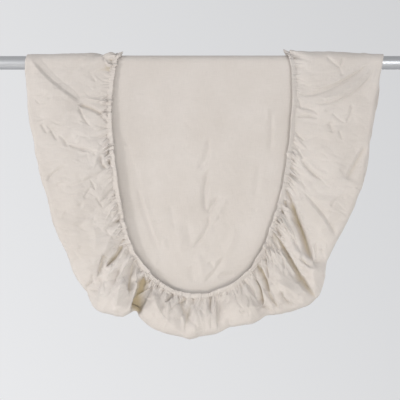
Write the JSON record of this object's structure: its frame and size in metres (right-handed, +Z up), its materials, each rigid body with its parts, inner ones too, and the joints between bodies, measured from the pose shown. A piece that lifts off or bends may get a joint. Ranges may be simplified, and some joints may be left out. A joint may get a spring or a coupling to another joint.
{
  "type": "fitted sheet on hanging rail",
  "caption": "Small fitted bed sheet of washed cloth, folded over a round metal rail, its gathered skirt and elastic hem turned outwards round the opening.",
  "frame": {"origin": "middle of the rail, on its axis", "axes": "+X along the rail to the viewer's right, -Y out of the front half towards the viewer, +Z up"},
  "size_m": [0.9, 0.0992, 0.5314],
  "materials": {
    "cloth": "matt washed plain weave in natural oatmeal",
    "rail_metal": "satin grey metal"
  },
  "bodies": {
    "root": {"sheet": "cloth", "rail": "rail_metal"}
  },
  "joints": []
}
